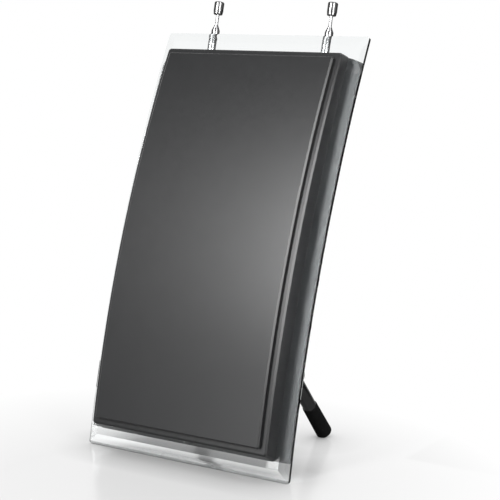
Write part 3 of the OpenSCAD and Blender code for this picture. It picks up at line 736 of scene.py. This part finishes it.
class RodMounts(Dressed):
    """What holds and feeds the two rods."""

    def coats(self) -> dict[str, Finish]:
        """Black bushes, plated clips and brass lugs."""
        return {
            "rod_bushes": BLACK_PLASTIC,
            "rod_clips": BRIGHT_STEEL,
            "clip_screws": BRIGHT_STEEL,
            "rod_lugs": BRASS,
            "lug_screws": BRIGHT_STEEL,
        }


class HingeParts(Dressed):
    """Pins, washers and screws of both leg hinges."""

    def coats(self) -> dict[str, Finish]:
        """Black screws, plated pins and washers."""
        return {
            "bracket_screws": BLACK_STEEL,
            "hinge_pins": BRIGHT_STEEL,
            "hinge_washers": BRIGHT_STEEL,
        }


@dataclass
class TelescopicRod(Dressed):
    """One rod: the fixed tube, the stages inside it, the tip rod and its cap."""

    side: Side
    stages: int = 4

    def coats(self) -> dict[str, Finish]:
        """Chrome tubes and a satin cap.

        Returns:
            The finish of each of the rod's nodes.
        """
        nested = (f"stage_{k}" for k in range(1, self.stages + 1))
        coats = {
            f"{name}_{self.side.value}": CHROME for name in ("rod_tube", *nested, "tip_rod")
        }
        coats[f"tip_cap_{self.side.value}"] = SATIN_CHROME
        return coats


@dataclass
class FoldingLeg(Dressed):
    """One leg: bracket, knuckle, chrome tube and rubber foot."""

    side: Side

    def coats(self) -> dict[str, Finish]:
        """Black joint parts, a darker chrome tube and a rubber foot."""
        return {
            f"leg_bracket_{self.side.value}": BLACK_PLASTIC,
            f"leg_knuckle_{self.side.value}": BLACK_PLASTIC,
            f"leg_tube_{self.side.value}": DARKER_LEG_CHROME,
            f"leg_foot_{self.side.value}": RUBBER,
        }


@dataclass(frozen=True)
class Lamp:
    """One soft lamp, aimed at a point, with its sizes in metres."""

    name: str
    place: tuple[float, float, float]
    target: tuple[float, float, float]
    width: float
    height: float
    watts: float

    def hang(self) -> None:
        """Adds the lamp to the scene."""
        data = bpy.data.lights.new(self.name, "AREA")
        data.shape, data.size, data.size_y = "RECTANGLE", self.width, self.height
        data.energy = self.watts
        lamp = bpy.data.objects.new(self.name, data)
        lamp.location = self.place
        aim = Vector(self.target) - Vector(self.place)
        lamp.rotation_euler = aim.to_track_quat("-Z", "Y").to_euler()
        bpy.context.scene.collection.objects.link(lamp)


@dataclass
class Studio:
    """Floor, surround, lamps, dark card and camera, in metres.

    Near a centre ahead of the object the lamps light the floor, which keeps the object's
    reflection and shadow there. Further out the floor glows white. Ambient occlusion darkens its
    glow close to the object into a painted contact shadow. The floor is shifted sideways, so that
    the diagonal of its one face stays out of sight.
    """

    eye: tuple[float, float, float] = (0.7233, -1.0007, 0.3989)
    pitch_deg: float = 9.82
    yaw_deg: float = 33.28
    lens_mm: float = 107.5
    sensor_mm: float = 36.0
    clip_near: float = 0.01
    floor_m: float = 400.0
    floor_shift: float = 0.4
    floor_tone: float = 0.2
    floor_gloss: float = 0.2
    glow_near: float = 0.47
    shade_reach: float = 0.045
    glow_centre: tuple[float, float, float] = (0.0, -0.08, 0.0)
    glow_start: float = 0.12
    glow_full: float = 0.32
    ambient: float = 0.3
    lamps: tuple[Lamp, ...] = (
        Lamp(
            "key", place=(-0.37, -1.31, 0.93), target=(0.05, 0.05, 0.2), width=0.36, height=0.6,
            watts=33.0,
        ),
        Lamp(
            "low", place=(-0.46, -1.34, 0.16), target=(0.05, 0.05, 0.1), width=0.45,
            height=0.22, watts=1.6,
        ),
        Lamp(
            "side", place=(1.18, -0.54, 0.68), target=(0.1, 0.05, 0.22), width=0.42,
            height=0.95, watts=18.0,
        ),
        Lamp(
            "top", place=(0.1, 0.1, 1.7), target=(0.0, 0.05, 0.15), width=0.9, height=0.9,
            watts=8.0,
        ),
    )
    ring: tuple[tuple[float, float], ...] = (
        (0.0, 0.1), (0.1, 0.12), (0.22, 0.3), (0.29, 0.06), (0.343, 0.03), (0.39, 0.06),
        (0.44, 0.4), (0.5, 0.36), (0.585, 0.42), (0.635, 0.06), (0.7, 0.04), (0.76, 0.9),
        (0.9, 1.0), (0.96, 0.4),
    )
    fade: tuple[tuple[str, float], ...] = (
        ("From Min", 0.05), ("From Max", 0.6), ("To Min", 1.2), ("To Max", 0.35),
    )
    card_near: tuple[float, float] = (0.15, 0.12)
    card_far: tuple[float, float] = (2.6, 5.0)
    card_rise: float = 0.002
    card_grey: float = 0.02

    def camera(self) -> None:
        """Places the camera at the photograph's viewpoint."""
        data = bpy.data.cameras.new("camera")
        data.lens, data.sensor_width = self.lens_mm, self.sensor_mm
        data.clip_start, data.clip_end = self.clip_near, 2.0 * self.floor_m
        seat = bpy.data.objects.new("camera", data)
        seat.location = self.eye
        seat.rotation_euler = (
            math.radians(90.0 - self.pitch_deg), 0.0, math.radians(self.yaw_deg),
        )
        bpy.context.scene.collection.objects.link(seat)
        bpy.context.scene.camera = seat

    def world(self) -> None:
        """A white surround for sight and glass, a ring of pale and dark cards for gloss."""
        world = bpy.data.worlds.new("studio")
        bpy.context.scene.world = world
        world.use_nodes = True
        tree = world.node_tree
        tree.nodes.clear()
        output = tree.nodes.new("ShaderNodeOutputWorld")
        path = tree.nodes.new("ShaderNodeLightPath")
        turn = tree.nodes.new("ShaderNodeTexGradient")
        turn.gradient_type = "RADIAL"
        coords = tree.nodes.new("ShaderNodeTexCoord")
        tree.links.new(coords.outputs["Generated"], turn.inputs["Vector"])
        ramp = tree.nodes.new("ShaderNodeValToRGB")
        tree.links.new(turn.outputs["Fac"], ramp.inputs["Fac"])
        stops = ramp.color_ramp.elements
        for place, _ in self.ring[1:-1]:
            stops.new(place)
        for stop, (place, tone) in zip(stops, self.ring):
            stop.position, stop.color = place, (tone, tone, tone, 1.0)
        layers = []
        for strength in (self.ambient, 1.0, 1.0):
            layer = tree.nodes.new("ShaderNodeBackground")
            layer.inputs["Color"].default_value = (*WHITE, 1.0)
            layer.inputs["Strength"].default_value = strength
            layers.append(layer)
        tree.links.new(ramp.outputs["Color"], layers[1].inputs["Color"])
        height = tree.nodes.new("ShaderNodeSeparateXYZ")
        tree.links.new(coords.outputs["Generated"], height.inputs[0])
        fade = tree.nodes.new("ShaderNodeMapRange")
        tree.links.new(height.outputs["Z"], fade.inputs["Value"])
        for name, value in self.fade:
            fade.inputs[name].default_value = value
        tree.links.new(fade.outputs[0], layers[1].inputs["Strength"])
        glossy = tree.nodes.new("ShaderNodeMixShader")
        tree.links.new(path.outputs["Is Glossy Ray"], glossy.inputs[0])
        tree.links.new(layers[0].outputs[0], glossy.inputs[1])
        tree.links.new(layers[1].outputs[0], glossy.inputs[2])
        mix = tree.nodes.new("ShaderNodeMixShader")
        tree.links.new(self.seen(tree), mix.inputs[0])
        tree.links.new(glossy.outputs[0], mix.inputs[1])
        tree.links.new(layers[2].outputs[0], mix.inputs[2])
        tree.links.new(mix.outputs[0], output.inputs["Surface"])

    @staticmethod
    def seen(tree: bpy.types.NodeTree) -> bpy.types.NodeSocket:
        """Tells rays that carry the picture from rays that carry light to a dull surface.

        Args:
            tree: node tree that gets the nodes.

        Returns:
            A factor that is 1 for camera rays and for rays through the clear plate.
        """
        path = tree.nodes.new("ShaderNodeLightPath")
        dull = tree.nodes.new("ShaderNodeMath")
        dull.operation = "LESS_THAN"
        dull.inputs[1].default_value = 0.5
        tree.links.new(path.outputs["Diffuse Depth"], dull.inputs[0])
        through = tree.nodes.new("ShaderNodeMath")
        through.operation = "MULTIPLY"
        tree.links.new(path.outputs["Is Transmission Ray"], through.inputs[0])
        tree.links.new(dull.outputs[0], through.inputs[1])
        seen = tree.nodes.new("ShaderNodeMath")
        seen.operation = "MAXIMUM"
        tree.links.new(path.outputs["Is Camera Ray"], seen.inputs[0])
        tree.links.new(through.outputs[0], seen.inputs[1])
        return seen.outputs[0]

    def floor(self) -> None:
        """A pale floor with the object's lit shadow, a soft reflection of it and a painted
        contact shadow in its glow.
        """
        bm = bmesh.new()
        bmesh.ops.create_grid(bm, x_segments=1, y_segments=1, size=self.floor_m)
        bmesh.ops.translate(bm, vec=(self.floor_shift * self.floor_m, 0.0, 0.0), verts=bm.verts)
        mesh = bpy.data.meshes.new("studio_floor")
        bm.to_mesh(mesh)
        bm.free()
        ground = bpy.data.objects.new("studio_floor", mesh)
        bpy.context.scene.collection.objects.link(ground)
        sheet = Sheet("studio_floor")
        surface = sheet.node(
            "ShaderNodeBsdfPrincipled", Base_Color=(*[self.floor_tone] * 3, 1.0),
            Roughness=self.floor_gloss,
        )
        far = sheet.node("ShaderNodeVectorMath", operation="DISTANCE")
        sheet.link(sheet.coords, far.inputs[0])
        far.inputs[1].default_value = self.glow_centre
        rise = sheet.node(
            "ShaderNodeMapRange", Value=far.outputs["Value"], From_Min=self.glow_start,
            From_Max=self.glow_full,
        )
        # Ambient occlusion darkens both glows near the object: a painted contact shadow.
        shade = sheet.node("ShaderNodeAmbientOcclusion", Distance=self.shade_reach)
        near = sheet.node("ShaderNodeEmission", Color=shade.outputs["Color"])
        lit = sheet.node("ShaderNodeMath", operation="MULTIPLY")
        sheet.link(self.seen(sheet.tree), lit.inputs[0])
        lit.inputs[1].default_value = self.glow_near
        sheet.link(lit.outputs[0], near.inputs["Strength"])
        add = sheet.node("ShaderNodeAddShader")
        sheet.link(surface.outputs[0], add.inputs[0])
        sheet.link(near.outputs[0], add.inputs[1])
        share = sheet.node("ShaderNodeMath", operation="MULTIPLY")
        sheet.link(self.seen(sheet.tree), share.inputs[0])
        sheet.link(rise.outputs[0], share.inputs[1])
        glow = sheet.node("ShaderNodeEmission", Color=shade.outputs["Color"], Strength=1.0)
        mix = sheet.node("ShaderNodeMixShader")
        sheet.link(share.outputs[0], mix.inputs[0])
        sheet.link(add.outputs[0], mix.inputs[1])
        sheet.link(glow.outputs[0], mix.inputs[2])
        sheet.link(mix.outputs[0], sheet.output.inputs["Surface"])
        mesh.materials.append(sheet.material)

    def card(self) -> None:
        """A dark card that only reflections see, giving glossy edges a painted dark reflection.
        """
        (left, near), (right, far) = self.card_near, self.card_far
        outline = ((left, near), (right, near), (right, far), (left, far))
        bm = bmesh.new()
        bmesh.ops.contextual_create(
            bm, geom=[bm.verts.new((*corner, self.card_rise)) for corner in outline]
        )
        mesh = bpy.data.meshes.new("reflection_only_dark_card")
        bm.to_mesh(mesh)
        bm.free()
        flag = bpy.data.objects.new("reflection_only_dark_card", mesh)
        bpy.context.scene.collection.objects.link(flag)
        sheet = Sheet("reflection_only_dark_card")
        glow = sheet.node(
            "ShaderNodeEmission", Color=(*[self.card_grey] * 3, 1.0), Strength=1.0
        )
        sheet.link(glow.outputs[0], sheet.output.inputs["Surface"])
        mesh.materials.append(sheet.material)
        # Seen by glossy rays alone, the card is a painted dark reflection.
        flag.visible_camera = False
        flag.visible_diffuse = False
        flag.visible_shadow = False
        flag.visible_transmission = False

    def build(self) -> None:
        """Sets up the whole studio."""
        self.world()
        self.floor()
        for lamp in self.lamps:
            lamp.hang()
        self.card()
        self.camera()
        bpy.context.scene.view_settings.view_transform = "Standard"


def main() -> None:
    """Builds and dresses every sub-assembly in order, then sets up the studio."""
    logging.basicConfig(level=logging.INFO, format="%(name)s: %(message)s")
    assemblies: list[Dressed] = [
        ClearPlate(), FrontCover(), RearHousing(), BoardStack(), AerialSocket(), RodMounts(),
        HingeParts(),
        *(TelescopicRod(side) for side in Side),
        *(FoldingLeg(side) for side in Side),
    ]
    for assembly in assemblies:
        assembly.dress()
    Studio().build()


if __name__ == "__main__":
    main()
